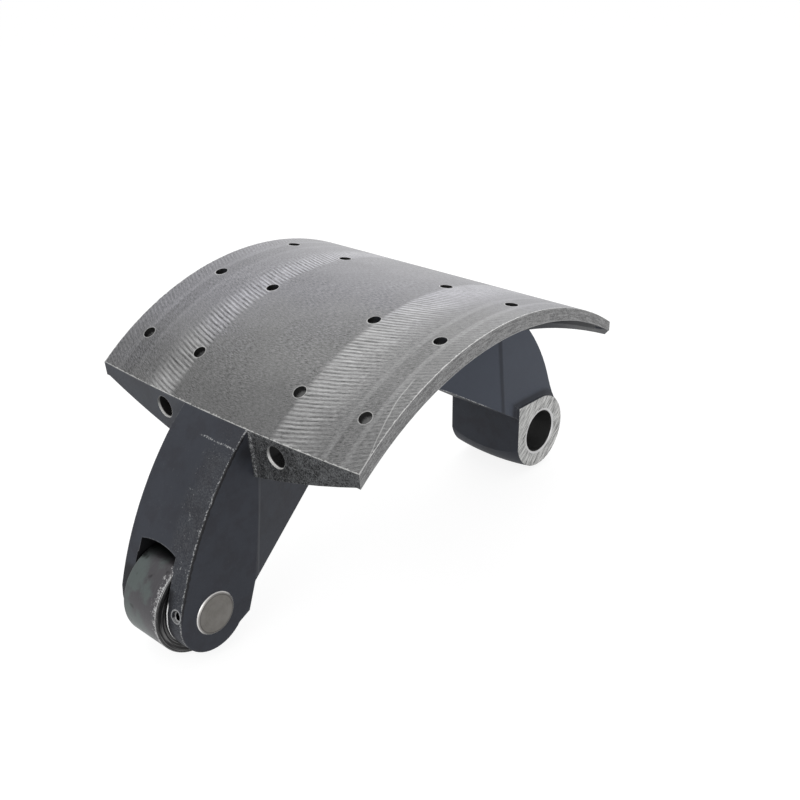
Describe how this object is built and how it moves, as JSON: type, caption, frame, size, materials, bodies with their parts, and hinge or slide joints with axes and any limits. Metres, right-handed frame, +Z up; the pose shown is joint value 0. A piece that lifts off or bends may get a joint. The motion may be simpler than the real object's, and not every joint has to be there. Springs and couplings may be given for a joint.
{
  "type": "brake shoe",
  "caption": "Bare cast brake shoe: a curved table drilled for linings on a waisted web, with a pinned roller at one end and a bushed anchor boss at the other.",
  "frame": {"origin": "centre of the anchor bore, midway along it", "axes": "+Y along the anchor bore and the roller, -X from the anchor to the roller, +Z up from the feet to the table"},
  "size_m": [0.3625, 0.217, 0.1787],
  "materials": {
    "casting": "cast skin under thin dark grey paint, with the table's outer face and the boss's end faces machined bare",
    "bush": "plain rolled bush, bored to size",
    "roller": "dark hardened steel, lightly oiled, with fine scratches along one rim",
    "pin": "turned end faces with a bright chamfer",
    "spring_steel": "dark rolled spring steel"
  },
  "bodies": {
    "shoe": {"shoe_casting": "casting", "anchor_bush": "bush", "roller_pin": "pin", "lock_pin": "spring_steel"},
    "roller": {"roller": "roller"}
  },
  "joints": [
    {"name": "roller_spin", "type": "hinge", "parent": "shoe", "child": "roller", "pos_m": [-0.303, 0, 0], "axis": [0, 1, 0], "continuous": true}
  ]
}
